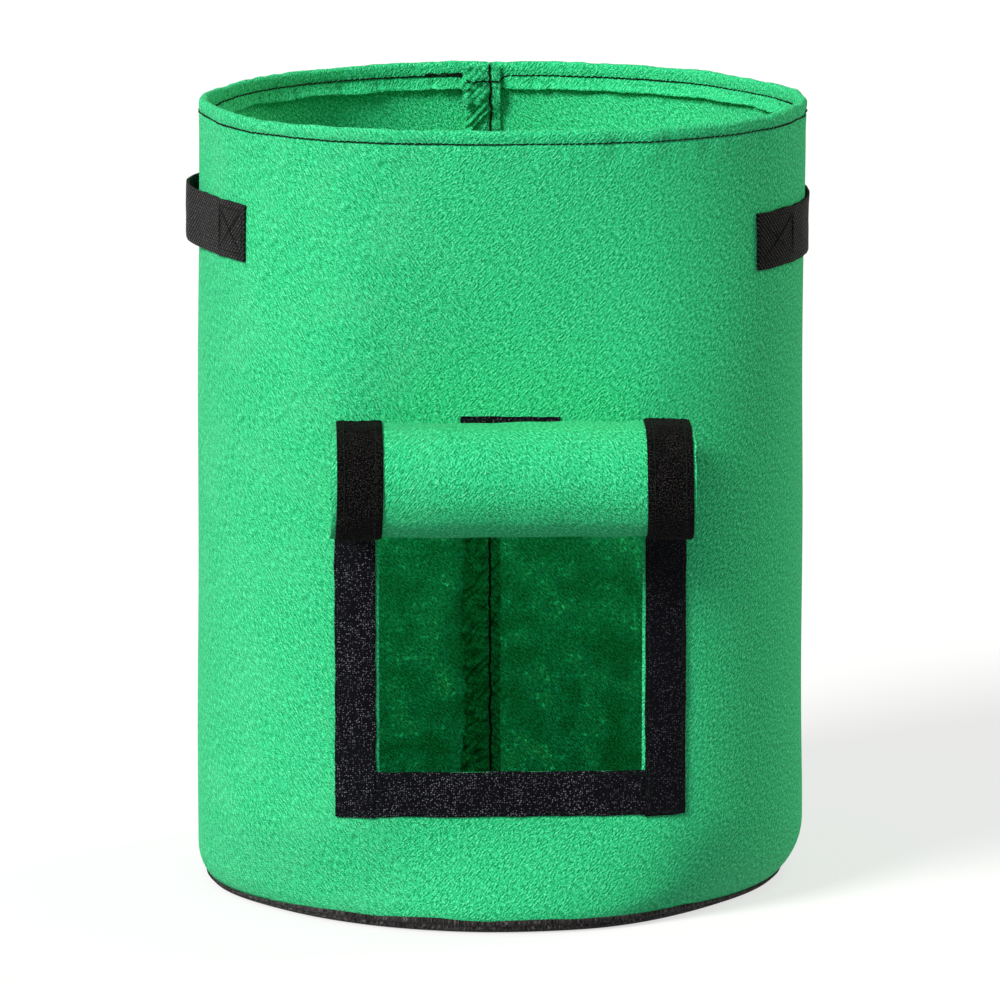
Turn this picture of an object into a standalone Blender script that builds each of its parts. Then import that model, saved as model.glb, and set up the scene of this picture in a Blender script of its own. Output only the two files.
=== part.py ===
# Fabric grow bag with a roll-up harvest window.
# Metres, +Z up. The origin is the centre of the base's underside; the window faces -Y.
# Build: the felt wall and its hems are thin closed shells that follow one plan curve;
# the flap is a chain of strips, each on its own hinge, so one number rolls it up or down.

import math

import bpy
import numpy as np

# ---------------------------------------------------------------- driving dimensions

RADIUS = 0.178            # outer radius of the wall
HEIGHT = 0.4660           # base to rim
FELT = 0.0025             # thickness of the felt
GAP = 0.0003              # clearance between pieces that are sewn together

FRONT_DEPTH = 0.166       # axis to the flattened front, round the window
FRONT_FULLNESS = 0.5      # how far the flanks fill out towards a square
FRONT_SOFTNESS = 0.006    # rounding where the flat front meets the flanks
FLAT_FROM = 0.050         # heights between which the front is fully flattened
FLAT_TO = 0.310
FLAT_AT_BASE = 0.0        # share of the flattening left at the base
FLAT_AT_RIM = 0.45        # and at the rim

FOOT_HEIGHT = 0.016       # the wall turns in below this height
FOOT_RADIUS = 0.020
BASE_LIP = 0.0048         # height of the base felt's turned-up edge

HEM_DEPTH = 0.0185        # depth of the rim's turned-in hem
SEAM_LEFT = 0.017         # back seam allowance to the left of its stitches
SEAM_RIGHT = 0.008        # and to the right

WINDOW_HALF = 0.0765      # half the width of the window
WINDOW_BOTTOM = 0.0934
WINDOW_TOP = 0.2440

TAPE = 0.0012             # thickness of the hook tape
HOOK_INNER = 0.0765       # hook tape on the wall: inner and outer edge from the centre
HOOK_OUTER = 0.1010
HOOK_BOTTOM = 0.0670
HOOK_TOP = 0.2320
HOLD_HALF = 0.0285        # the strip that holds the rolled flap
HOLD_BOTTOM = 0.2771
HOLD_TOP = 0.3011

FLAP_HALF = 0.1035        # half the width of the flap
FLAP_TOP = 0.2516         # height of the line that the flap folds at
FLAP_BOTTOM = 0.0657
FLAP_PLANE = 0.1715       # axis to the outer face of the closed flap
FLAP_CREASE = (46.0, 36.0)     # degrees of the two folds where the roll leaves the wall
FLAP_FRONT = 23.5         # degrees of each of the small folds round the roll's front
FLAP_RETURN = (34.5, 55.5)     # degrees of the two folds where the roll meets the wall
FLAP_FRONT_FOLDS = 8
FLAP_LENGTHS = (0.0124, 0.0220) + (0.0120,) * 7 + (0.0246, 0.0124, 0.0305)
ROLLED = 1.0              # 1 = rolled up, 0 = hanging closed
LOOP_TAPE = 0.0010        # thickness of the loop tape on the flap's inner face
LOOP_INNER = 0.0752
LOOP_OUTER = 0.1008
LOOP_START = 0.0240       # distance of the loop tape from the fold
LOOP_MARGIN = 0.0035      # bare felt below the bottom loop tape
LOOP_BAND = 0.0250        # height of the bottom loop tape
TOP_EDGE = 0.0057         # the flap's raw edge above the fold

STRAP = 0.0015            # thickness of the handle webbing
STRAP_BOTTOM = 0.3800
STRAP_TOP = 0.4120
STRAP_END = 57.5          # degrees from the front, or the back, to a strap's sewn ends
STRAP_END_RIGHT = 53.0    # the right strap's front end reaches further forward
STRAP_FREE = 68.0         # degrees from the front to where the strap leaves the wall
STRAP_BULGE = 0.0071      # gap between the strap and the wall at the side
STRAP_PIVOT = 0.166       # distance of the strap's swing axis from the centre plane

THREAD = 0.0005           # radius of the sewing thread
RIM_STITCH = 0.4580
RIM_STITCH_INSIDE = 0.4575

COLUMNS = 72              # facets round the wall

FELT_GREEN = (0.055, 0.52, 0.19)
DARK = (0.012, 0.012, 0.013)


# ---------------------------------------------------------------- scene and materials

def clear_scene():
    for item in list(bpy.data.objects):
        bpy.data.objects.remove(item, do_unlink=True)


def new_collection(name):
    group = bpy.data.collections.new(name)
    bpy.context.scene.collection.children.link(group)
    return group


def paint(item, colour, roughness):
    material = bpy.data.materials.new(item.name + "_material")
    material.use_nodes = True
    shader = material.node_tree.nodes["Principled BSDF"]
    shader.inputs["Base Color"].default_value = (*colour, 1.0)
    shader.inputs["Roughness"].default_value = roughness
    item.data.materials.append(material)


def add_mesh(name, points, faces, colour, roughness=0.9):
    mesh = bpy.data.meshes.new(name)
    mesh.from_pydata([tuple(point) for point in points], [], faces)
    mesh.validate()
    item = bpy.data.objects.new(name, mesh)
    PARTS.objects.link(item)
    paint(item, colour, roughness)
    return item


# ---------------------------------------------------------------- the wall's shape

def smooth(value):
    value = min(max(value, 0.0), 1.0)
    return value * value * (3.0 - 2.0 * value)


def flat_share(z):
    """How much of the front's flattening applies at height z."""
    if z < FLAT_FROM:
        return FLAT_AT_BASE + (1.0 - FLAT_AT_BASE) * smooth(z / FLAT_FROM)
    return 1.0 - (1.0 - FLAT_AT_RIM) * smooth((z - FLAT_TO) / (HEIGHT - 0.01 - FLAT_TO))


def foot_inset(z):
    """How far the wall turns in near the base."""
    if z >= FOOT_HEIGHT:
        return 0.0
    return FOOT_RADIUS - math.sqrt(FOOT_RADIUS ** 2 - (FOOT_HEIGHT - z) ** 2)


def plan_point(turn, z):
    """Point of the wall's outer face; turn is the angle from the front (-Y)."""
    across = math.sin(turn)
    round_depth = math.cos(turn)
    if round_depth <= 0.0:
        return np.array((RADIUS * across, -RADIUS * round_depth))
    power = 2.0 + FRONT_FULLNESS
    full = RADIUS * (1.0 - abs(across) ** power) ** (1.0 / power)
    apart = math.sqrt((full - FRONT_DEPTH) ** 2 + FRONT_SOFTNESS ** 2)
    flat = (full + FRONT_DEPTH - apart) / 2.0
    share = flat_share(z)
    depth = (1.0 - share) * RADIUS * round_depth + share * flat
    return np.array((RADIUS * across, -depth))


def wall_point(turn, z, out):
    """Point at a distance out from the wall's outer face."""
    here = plan_point(turn, z)
    ahead = plan_point(turn + 0.002, z) - plan_point(turn - 0.002, z)
    normal = np.array((ahead[1], -ahead[0]))
    normal /= np.linalg.norm(normal)
    x, y = here + normal * (out - foot_inset(z))
    return (x, y, z)


def turn_at(x):
    """Angle from the front of the point of the wall at distance x from the centre."""
    return math.asin(x / RADIUS)


def steps(first, last, count):
    return [first + (last - first) * i / count for i in range(count + 1)]


def ring_turns():
    return [2.0 * math.pi * i / COLUMNS for i in range(COLUMNS)]


# ---------------------------------------------------------------- solid builders

def tube_of_sections(name, sections, colour, closed, roughness=0.9):
    """Solid through matching closed sections; closed joins the last to the first."""
    size = len(sections[0])
    count = len(sections)
    points = [point for section in sections for point in section]
    faces = []
    for i in range(count if closed else count - 1):
        near = i * size
        far = (i + 1) % count * size
        for k in range(size):
            after = (k + 1) % size
            faces.append((near + k, near + after, far + after, far + k))
    if not closed:
        faces.append(tuple(range(size))[::-1])
        faces.append(tuple(range((count - 1) * size, count * size)))
    item = add_mesh(name, points, faces, colour, roughness)
    face_outwards(item)
    return item


def face_outwards(item):
    """Turn every face if the solid's volume comes out negative."""
    volume = 0.0
    points = [vertex.co for vertex in item.data.vertices]
    for face in item.data.polygons:
        ring = [points[index] for index in face.vertices]
        for k in range(1, len(ring) - 1):
            volume += ring[0].dot(ring[k].cross(ring[k + 1]))
    if volume < 0.0:
        item.data.flip_normals()


def shell(name, turns, heights, inner, outer, colour, closed=False, rounding=0.0,
          round_outside=True):
    """Sheet that follows the wall, from inner to outer distance off its outer face."""
    sections = []
    for turn in turns:
        low_to_high = [wall_point(turn, z, outer) for z in heights]
        high_to_low = [wall_point(turn, z, inner) for z in reversed(heights)]
        if rounding and round_outside:
            low_to_high = round_edge(turn, heights, outer, -1.0, rounding)
        if rounding and not round_outside:
            high_to_low = round_edge(turn, heights, inner, 1.0, rounding)[::-1]
        sections.append(low_to_high + high_to_low)
    return tube_of_sections(name, sections, colour, closed)


def round_edge(turn, heights, out, inwards, radius):
    """Column of points that ends in a quarter round at the top."""
    column = [wall_point(turn, z, out) for z in heights[:-1]]
    for step in range(4):
        angle = math.radians(90.0 * step / 3.0)
        side = out + inwards * radius * (1.0 - math.cos(angle))
        height = heights[-1] - radius + radius * math.sin(angle)
        column.append(wall_point(turn, height, side))
    return column


def front_turns(x_low, x_high):
    """Angles of the wall's own facets between two distances x, with both ends."""
    low = turn_at(x_low)
    high = turn_at(x_high)
    facet = 2.0 * math.pi / COLUMNS
    between = [facet * i for i in range(-COLUMNS // 4, COLUMNS // 4)]
    return [low] + [turn for turn in between if low + 0.01 < turn < high - 0.01] + [high]


def patch(name, x_low, x_high, z_low, z_high, inner, outer, colour, rows):
    """Piece of tape or felt on the front of the wall, between two distances x."""
    turns = front_turns(x_low, x_high)
    return shell(name, turns, steps(z_low, z_high, rows), inner, outer, colour)


def thread(name, path, closed):
    """Thin tube along points; its section is a hexagon square to the path."""
    path = [np.array(point) for point in path]
    count = len(path)
    sections = []
    for i, here in enumerate(path):
        before = path[i - 1] if closed or i else here
        after = path[(i + 1) % count] if closed or i < count - 1 else here
        ahead = (after - before) / np.linalg.norm(after - before)
        outward = np.array((here[0], here[1], 0.0))
        outward -= ahead * outward.dot(ahead)
        outward /= np.linalg.norm(outward)
        beside = np.cross(ahead, outward)
        section = []
        for k in range(6):
            angle = math.radians(60.0 * k)
            offset = outward * math.cos(angle) + beside * math.sin(angle)
            section.append(here + offset * THREAD)
        sections.append(section)
    return tube_of_sections(name, sections, DARK, closed, 0.7)


def box_loop(turns, z_low, z_high, out, rows):
    """Rectangular path on the wall, for the stitches round a tape."""
    path = []
    for turn in turns:
        path.append(wall_point(turn, z_low, out))
    for z in steps(z_low, z_high, rows)[1:]:
        path.append(wall_point(turns[-1], z, out))
    for turn in turns[-2::-1]:
        path.append(wall_point(turn, z_high, out))
    for z in steps(z_high, z_low, rows)[1:-1]:
        path.append(wall_point(turns[0], z, out))
    return path


# ---------------------------------------------------------------- the bag

def make_wall():
    heights = [BASE_LIP + 0.0004, 0.0085, 0.012, FOOT_HEIGHT, 0.030, FLAT_FROM, 0.14, 0.24,
               FLAT_TO, 0.34, 0.37, 0.40, 0.425, HEIGHT - HEM_DEPTH, HEIGHT - 0.010,
               HEIGHT - FELT, HEIGHT]
    wall = shell("wall_panel", ring_turns(), heights, -FELT, 0.0, FELT_GREEN,
                 closed=True, rounding=FELT)
    cut_window(wall)


def cut_window(wall):
    width = 2.0 * WINDOW_HALF
    height = WINDOW_TOP - WINDOW_BOTTOM
    bpy.ops.mesh.primitive_cube_add(size=1.0)
    cutter = bpy.context.object
    cutter.name = "window_cutter"
    cutter.scale = (width, 0.06, height)
    cutter.location = (0.0, -FRONT_DEPTH, (WINDOW_TOP + WINDOW_BOTTOM) / 2.0)
    for group in list(cutter.users_collection):
        group.objects.unlink(cutter)
    CUTTERS.objects.link(cutter)
    cutter.display_type = 'WIRE'
    cutter.hide_render = True
    cut = wall.modifiers.new("window", 'BOOLEAN')
    cut.operation = 'DIFFERENCE'
    cut.solver = 'EXACT'
    cut.object = cutter


def make_rim():
    inner = -2.0 * FELT - GAP
    heights = [HEIGHT - HEM_DEPTH, HEIGHT - 0.010, HEIGHT - FELT, HEIGHT]
    shell("rim_hem", ring_turns(), heights, inner, -FELT - GAP, FELT_GREEN,
          closed=True, rounding=FELT, round_outside=False)
    outside = GAP + THREAD
    path = [wall_point(turn, RIM_STITCH, outside) for turn in ring_turns()]
    thread("rim_thread_outside", path, closed=True)
    inside = inner - GAP - THREAD
    path = [wall_point(turn, RIM_STITCH_INSIDE, inside) for turn in ring_turns()]
    thread("rim_thread_inside", path, closed=True)


def make_back_seam():
    outer = -FELT - GAP
    inner = outer - FELT
    left = math.pi + math.asin(SEAM_LEFT / RADIUS)
    right = math.pi - math.asin(SEAM_RIGHT / RADIUS)
    heights = steps(0.020, HEIGHT - HEM_DEPTH - 0.001, 2)
    shell("back_seam_allowance", steps(right, left, 2), heights, inner, outer, FELT_GREEN)
    inside = inner - GAP - THREAD
    path = [wall_point(math.pi, z, inside) for z in steps(0.024, heights[-1] - 0.004, 3)]
    thread("back_seam_thread", path, closed=False)


def make_base():
    rims = []
    for turn in ring_turns():
        column = [wall_point(turn, z, 0.0) for z in (BASE_LIP, 0.0024, 0.0)]
        rims.append(column)
    inner_rims = []
    for turn in ring_turns():
        foot = foot_inset(0.0)
        edge = wall_point(turn, BASE_LIP, -FELT)
        low = wall_point(turn, FOOT_HEIGHT, -foot - 0.5 * FELT)
        inner_rims.append([edge, (low[0], low[1], FELT)])
    build_dish("base_panel", rims, inner_rims)
    outer = -FELT - GAP
    inner = outer - 0.002
    shell("base_seam_allowance", ring_turns(), [0.0060, 0.0110, 0.0165], inner, outer,
          FELT_GREEN, closed=True)
    inside = inner - GAP - THREAD
    path = [wall_point(turn, 0.0115, inside) for turn in ring_turns()]
    thread("base_thread", path, closed=True)


def build_dish(name, outside, inside):
    """Closed dish: outside columns run down to the floor, inside columns run up from it."""
    count = len(outside)
    columns = [list(low) + [high[1], high[0]] for low, high in zip(outside, inside)]
    points = []
    for column in columns:
        floor_point = column[2]
        column.insert(3, (floor_point[0] * 0.5, floor_point[1] * 0.5, 0.0))
        column.insert(4, (column[4][0] * 0.5, column[4][1] * 0.5, FELT))
        points.extend(column)
    size = len(columns[0])
    faces = []
    for i in range(count):
        near = i * size
        far = (i + 1) % count * size
        for k in range(size):
            if k == 3:
                continue
            after = (k + 1) % size
            faces.append((near + k, near + after, far + after, far + k))
    bottom = len(points)
    points.append((0.0, 0.0, 0.0))
    top = len(points)
    points.append((0.0, 0.0, FELT))
    for i in range(count):
        near = i * size
        far = (i + 1) % count * size
        faces.append((near + 3, bottom, far + 3))
        faces.append((near + 4, far + 4, top))
    dish = add_mesh(name, points, faces, DARK)
    face_outwards(dish)


def make_hook_tapes():
    inner = GAP
    outer = GAP + TAPE
    tapes = (
        ("hook_tape_left", -HOOK_OUTER, -HOOK_INNER, HOOK_BOTTOM, HOOK_TOP),
        ("hook_tape_right", HOOK_INNER, HOOK_OUTER, HOOK_BOTTOM, HOOK_TOP),
        ("hook_tape_bottom", GAP - HOOK_INNER, HOOK_INNER - GAP, HOOK_BOTTOM, WINDOW_BOTTOM),
        ("hold_strip", -HOLD_HALF, HOLD_HALF, HOLD_BOTTOM, HOLD_TOP),
    )
    for name, x_low, x_high, z_low, z_high in tapes:
        patch(name, x_low, x_high, z_low, z_high, inner, outer, DARK, 1)


# ---------------------------------------------------------------- the handles

def strap_gap(turn):
    """Distance of the strap's inner face from the wall, at an angle from the front."""
    free = math.radians(STRAP_FREE - 2.0)
    share = (turn - free) / (math.pi / 2.0 - free)
    if share > 1.0:
        share = 2.0 - share
    return GAP + STRAP_BULGE * max(math.sin(math.pi / 2.0 * max(share, 0.0)), 0.0) ** 1.5


def strap_piece(name, low, high, side, columns):
    """Length of webbing between two angles from the front, in degrees."""
    sections = []
    for degrees in steps(low, high, columns):
        turn = math.radians(degrees)
        near = strap_gap(turn)
        corners = [(STRAP_BOTTOM, near), (STRAP_BOTTOM, near + STRAP),
                   (STRAP_TOP, near + STRAP), (STRAP_TOP, near)]
        points = [wall_point(turn, z, out) for z, out in corners]
        sections.append([(side * at[0], at[1], at[2]) for at in points])
    return tube_of_sections(name, sections, DARK, False, 0.6)


def make_handle(name, side, front_end):
    last = 180.0 - STRAP_END
    free = 180.0 - STRAP_FREE
    strap_piece(name + "_tab_front", front_end, STRAP_FREE, side, 3)
    strap_piece(name + "_tab_back", free, last, side, 3)
    loop = strap_piece(name + "_loop", STRAP_FREE + 0.3, free - 0.3, side, 16)
    pivot = bpy.data.objects.new(name + "_pivot", None)
    pivot.location = (side * STRAP_PIVOT, 0.0, STRAP_TOP)
    PARTS.objects.link(pivot)
    for vertex in loop.data.vertices:
        vertex.co -= pivot.location
    loop.parent = pivot
    for place, low, high in (("front", front_end, STRAP_FREE), ("back", free, last)):
        over = GAP + STRAP + GAP + THREAD
        turns = steps(math.radians(low + 1.0), math.radians(high - 1.0), 3)
        path = box_loop(turns, STRAP_BOTTOM + 0.004, STRAP_TOP - 0.004, over + 0.0006, 1)
        path = [(side * at[0], at[1], at[2]) for at in path]
        thread(name + "_thread_" + place, path, True)


# ---------------------------------------------------------------- the flap

def flap_box(name, x_low, x_high, down_from, down_to, near, far, colour):
    """Flat piece of the flap: lengths run down from its hinge, depths run inwards."""
    sections = []
    for x in (x_low, x_high):
        sections.append([(x, near, -down_from), (x, near, -down_to),
                         (x, far, -down_to), (x, far, -down_from)])
    return tube_of_sections(name, sections, colour, False)


def flap_strip(number, hinge, start, length):
    """One strip of the flap with the loop tape on it, hung from its hinge."""
    half_gap = GAP / 2.0
    pieces = [flap_box("flap_strip_%02d" % number, -FLAP_HALF, FLAP_HALF, half_gap,
                       length - half_gap, 0.0, FELT, FELT_GREEN)]
    flap_length = FLAP_TOP - FLAP_BOTTOM
    near = FELT + 0.0001
    far = near + LOOP_TAPE
    low = max(LOOP_START - start, half_gap)
    high = min(flap_length - LOOP_MARGIN - start, length - half_gap)
    if high > low:
        for side, name in ((-1.0, "left"), (1.0, "right")):
            edges = sorted((side * LOOP_INNER, side * LOOP_OUTER))
            pieces.append(flap_box("loop_tape_%s_%02d" % (name, number), *edges, low, high,
                                   near, far, DARK))
    if number == len(FLAP_LENGTHS):
        pieces.append(flap_box("loop_tape_bottom", GAP - LOOP_INNER, LOOP_INNER - GAP,
                               high - LOOP_BAND + half_gap, high, near, far, DARK))
    for piece in pieces:
        piece.parent = hinge


def make_flap():
    inner = GAP
    outer = GAP + FELT
    top = FLAP_TOP + GAP
    patch("flap_top_edge", -FLAP_HALF, FLAP_HALF, top, top + TOP_EDGE, inner, outer,
          FELT_GREEN, 1)
    over = outer + GAP + THREAD
    path = [wall_point(turn, top + TOP_EDGE / 2.0, over)
            for turn in front_turns(0.002 - FLAP_HALF, FLAP_HALF - 0.002)]
    thread("flap_seam_thread", path, closed=False)
    make_chain()


def make_chain():
    """The flap's strips, each hung from a hinge on the strip above."""
    turns = FLAP_CREASE + (FLAP_FRONT,) * FLAP_FRONT_FOLDS + FLAP_RETURN
    above = None
    start = 0.0
    for number, (turn, length) in enumerate(zip(turns, FLAP_LENGTHS), 1):
        hinge = bpy.data.objects.new("flap_hinge_%02d" % number, None)
        PARTS.objects.link(hinge)
        hinge.rotation_euler[0] = -math.radians(turn) * ROLLED
        if above is None:
            hinge.location = (0.0, -FLAP_PLANE, FLAP_TOP)
        else:
            hinge.parent = above
            hinge.location = (0.0, 0.0, -FLAP_LENGTHS[number - 2])
        flap_strip(number, hinge, start, length)
        start += length
        above = hinge


clear_scene()
PARTS = new_collection("fabric_grow_bag")
CUTTERS = new_collection("fabric_grow_bag_cutters")
make_wall()
make_rim()
make_back_seam()
make_base()
make_hook_tapes()
make_handle("handle_left", -1.0, STRAP_END)
make_handle("handle_right", 1.0, STRAP_END_RIGHT)
make_flap()
bpy.context.view_layer.update()
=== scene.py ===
"""Looks of the fabric grow bag: a felt wall with a window, a rolled flap, tapes and handles.

Metres, +Z up, the window faces -Y. Every piece on the wall follows one plan curve
(wall_points), and every piece on the flap follows one rolled curve (flap_points).
"""

import math

import bpy
import numpy as np
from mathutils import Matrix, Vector


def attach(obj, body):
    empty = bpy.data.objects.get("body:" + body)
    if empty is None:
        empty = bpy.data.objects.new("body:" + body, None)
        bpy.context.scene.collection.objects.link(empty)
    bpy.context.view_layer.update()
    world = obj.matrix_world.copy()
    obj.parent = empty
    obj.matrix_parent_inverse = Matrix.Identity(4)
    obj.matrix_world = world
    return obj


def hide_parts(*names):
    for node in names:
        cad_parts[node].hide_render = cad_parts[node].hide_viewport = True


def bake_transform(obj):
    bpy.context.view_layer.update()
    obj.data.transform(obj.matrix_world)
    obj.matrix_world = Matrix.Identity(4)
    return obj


# ---------------- sizes, nearly as in the CAD

RADIUS = 0.178            # outer radius of the wall
HEIGHT = 0.4660
FELT = 0.0025             # thickness of the felt
FRONT_DEPTH = 0.166       # axis to the flattened front
FRONT_POWER = 2.5         # how square the front's flanks are
FRONT_SOFTNESS = 0.006
# The front is flattened fully between two heights, and by these shares at base and rim.
FLAT_FROM, FLAT_TO, FLAT_AT_BASE, FLAT_AT_RIM = 0.064, 0.310, 0.0, 0.45
FOOT_HEIGHT, FOOT_RADIUS = 0.016, 0.020
BASE_LIP = 0.0048         # height of the wall's lower edge
HEM_DEPTH = 0.0166
RIM_STITCH, RIM_STITCH_INSIDE = 0.4580, 0.4575
FOLD_BOTTOM = HEIGHT - 0.0028      # height at which the rim starts to fold over
SEAM_LEFT, SEAM_RIGHT = 0.017, 0.0065      # reach of the back seam's allowance
WALL_COLUMNS = 760

WINDOW_LEFT, WINDOW_RIGHT, WINDOW_BOTTOM, WINDOW_TOP = -0.0752, 0.0763, 0.0934, 0.2440
TAPE = 0.0013             # thickness of the hook tapes
HOOK_INNER, HOOK_OUTER, HOOK_BOTTOM, HOOK_TOP = 0.0765, 0.1010, 0.0670, 0.2320
HOLD_HALF, HOLD_BOTTOM, HOLD_TOP = 0.0285, 0.2771, 0.3011

# Half the flap's width, the fold's height, its distance from the axis, the felt above it.
FLAP_HALF, FLAP_TOP, FLAP_PLANE, TOP_EDGE = 0.1038, 0.2516, 0.1715, 0.0060
FLAP_TURNS = (46.0, 36.0) + (23.5,) * 8 + (34.5, 55.5)
FLAP_LENGTHS = (0.0124, 0.0220) + (0.0120,) * 7 + (0.0246, 0.0124, 0.0305)
FLAP_LENGTH = sum(FLAP_LENGTHS)      # from the fold to the free end
LOOP_INNER, LOOP_OUTER, LOOP_START, LOOP_END = 0.0754, 0.1018, 0.0240, 0.1824
LOOP_SHIFT = 0.0008       # the loop tape is sewn a little off the middle
LOOP_BAND = 0.0250        # width of the loop tape across the flap's end

STRAP, STRAP_WIDTH = 0.0015, 0.0325      # thickness and width of the webbing
STRAP_BOTTOMS = {"left": 0.3835, "right": 0.3782}
STRAP_BULGES = {"left": 0.0048, "right": -0.0004}
STRAP_FRONTS = {"left": 56.8, "right": 53.0}
# Degrees from the front: the back end, the end of the stitches, where the strap leaves the
# wall, and where it moves wholly with the handle.
STRAP_BACK, STRAP_FREE, STRAP_LEAVES, STRAP_LIFTED = 122.5, 68.0, 71.0, 82.0

CAMERA_DISTANCE, CAMERA_HEIGHT, CAMERA_AZIMUTH, LENS = 4.2, 0.9645, -2.0, 258.0
CAMERA_TARGET = (0.0, 0.0, 0.2235)

STITCH = 0.0040           # length of one stitch with its gap
THREAD = 0.00042          # radius of the thread

rng = np.random.default_rng(7)


# ---------------- shared curves

def ease(value):
    """Smooth step from 0 to 1."""
    value = np.clip(value, 0.0, 1.0)
    return value * value * (3.0 - 2.0 * value)


def waves(x, z, seed, size, octaves=3):
    """Smooth seeded unevenness of about +-1, with features of about the given size."""
    local = np.random.default_rng(seed)
    total = np.zeros(np.broadcast(x, z).shape)
    for octave in range(octaves):
        for _ in range(5):
            angle = local.uniform(0.0, math.tau)
            turns = math.tau / size * 1.9 ** octave * local.uniform(0.6, 1.3)
            phase = local.uniform(0.0, math.tau)
            along = x * math.cos(angle) + z * math.sin(angle)
            total = total + np.sin(along * turns + phase) * 0.4 / 1.8 ** octave
    return total


def plan_points(turn, z):
    """Outer face of the wall; turn is the angle from the front."""
    across, depth = np.sin(turn), np.cos(turn)
    front = np.clip(depth, 0.0, None)
    full = RADIUS * (1.0 - np.abs(across) ** FRONT_POWER).clip(0.0) ** (1.0 / FRONT_POWER)
    apart = np.sqrt((full - FRONT_DEPTH) ** 2 + FRONT_SOFTNESS ** 2)
    flat = (full + FRONT_DEPTH - apart) / 2.0
    low = FLAT_AT_BASE + (1.0 - FLAT_AT_BASE) * ease(z / FLAT_FROM)
    high = 1.0 - (1.0 - FLAT_AT_RIM) * ease((z - FLAT_TO) / (HEIGHT - 0.01 - FLAT_TO))
    share = np.where(z < FLAT_FROM, low, high)
    front_y = (1.0 - share) * RADIUS * front + share * flat
    spread = 1.0 + 0.020 * (1.0 - z / 0.38).clip(0.0) * np.abs(across) ** 6
    return RADIUS * across * spread, np.where(depth > 0.0, -front_y, -RADIUS * depth)


def foot_inset(turn, z):
    """How far the wall turns in near the base; it does so most on the right."""
    more = 1.0 + 1.2 * ease((np.sin(turn) - 0.25) / 0.55) + 0.25 * ease(-np.sin(turn) - 0.3)
    above = (FOOT_HEIGHT * more - z).clip(0.0)
    return FOOT_RADIUS * more - np.sqrt((FOOT_RADIUS * more) ** 2 - above ** 2)


def sag(turn, z):
    """Soft dents and swells of the empty bag; its rim is pulled in on the left."""
    x, y = np.sin(turn) * RADIUS, np.cos(turn) * RADIUS
    swell = waves(x * 1.3 + y, z * 0.7 + y * 0.4, 3, 0.21, 2)
    calm = 0.25 + 0.75 * ease((np.abs(turn) - 0.55) / 0.5)
    beside = (turn + math.pi / 2.0) / 0.17
    pulled = (1.0 - np.exp(-beside ** 2)) * np.exp(-(beside / 3.4) ** 2)
    corner = 0.0042 * pulled * ease((z - 0.39) / 0.07)
    return 0.0011 * swell * calm - corner


def wall_points(turn, z, out):
    """Points at a distance out from the wall's outer face, as an array (..., 3)."""
    turn, z, out = np.broadcast_arrays(turn, z, out)
    turn = (turn + math.pi) % math.tau - math.pi
    x, y = plan_points(turn, z)
    ahead_x, ahead_y = plan_points(turn + 0.002, z)
    behind_x, behind_y = plan_points(turn - 0.002, z)
    nx, ny = ahead_y - behind_y, behind_x - ahead_x
    size = np.hypot(nx, ny)
    push = (out - foot_inset(turn, z) + sag(turn, z)) / size
    return np.stack((x + nx * push, y + ny * push, z + 0.0 * x), axis=-1)


def turn_at(x):
    """Angle from the front of the wall's point at x."""
    return np.arcsin(np.asarray(x) / RADIUS)


# ---------------- mesh making

def grid(across, along):
    return np.meshgrid(across, along, indexing="ij")


def unit(vectors):
    return vectors / np.linalg.norm(vectors, axis=-1)[..., None]


def add_object(name, data):
    item = bpy.data.objects.new(name, data)
    bpy.context.scene.collection.objects.link(item)
    return item


def loop_vertices(mesh):
    """Index of the vertex at each corner of each face."""
    vertex = np.zeros(len(mesh.loops), np.int32)
    mesh.loops.foreach_get("vertex_index", vertex)
    return vertex


def finish_mesh(name, points, faces, uvs, materials, slots=None, smooth=True):
    mesh = bpy.data.meshes.new(name)
    mesh.from_pydata(np.asarray(points).tolist(), [], faces)
    layer = mesh.uv_layers.new(name="UVMap")
    corners = np.asarray(uvs, np.float32)[loop_vertices(mesh)]
    layer.data.foreach_set("uv", corners.ravel())
    for material in materials:
        mesh.materials.append(material)
    if slots is not None:
        mesh.polygons.foreach_set("material_index", np.asarray(slots, np.int32))
    mesh.polygons.foreach_set("use_smooth", [smooth] * len(mesh.polygons))
    mesh.update()
    return add_object(name, mesh)


def sheet_solid(name, top, bottom, uv, material, closed=False, keep=None, bevel=0.0006,
                under=None):
    """Sheet with thickness between two grids of points (columns, rows, 3).

    keep says which cells are there; the edges of the missing ones get side faces.
    """
    columns, rows = top.shape[:2]
    cells = columns if closed else columns - 1
    if keep is None:
        keep = np.ones((cells, rows - 1), bool)
    count = columns * rows
    points = np.concatenate((top.reshape(-1, 3), bottom.reshape(-1, 3)))
    uvs = np.concatenate((uv.reshape(-1, 2), uv.reshape(-1, 2)))
    index = np.arange(count).reshape(columns, rows)
    faces, slots = [], []

    def there(i, j):
        if closed:
            i %= columns
        return 0 <= i < cells and 0 <= j < rows - 1 and keep[i, j]

    for i, j in np.argwhere(keep):
        after = (i + 1) % columns
        a, b = int(index[i, j]), int(index[after, j])
        c, d = int(index[after, j + 1]), int(index[i, j + 1])
        faces.append((a, b, c, d))
        faces.append((d + count, c + count, b + count, a + count))
        slots.extend((0, 1))
        for near, far, ni, nj in ((a, b, i, j - 1), (b, c, i + 1, j), (c, d, i, j + 1),
                                  (d, a, i - 1, j)):
            if not there(ni, nj):
                faces.append((far, near, near + count, far + count))
                slots.append(2)
    materials = (material, under or material, material)
    item = finish_mesh(name, points, faces, uvs, materials, slots)
    if bevel:
        edge = item.modifiers.new("edge", 'BEVEL')
        edge.width = bevel
        edge.segments = 2
        edge.limit_method = 'ANGLE'
        edge.angle_limit = math.radians(50.0)
    return item


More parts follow.
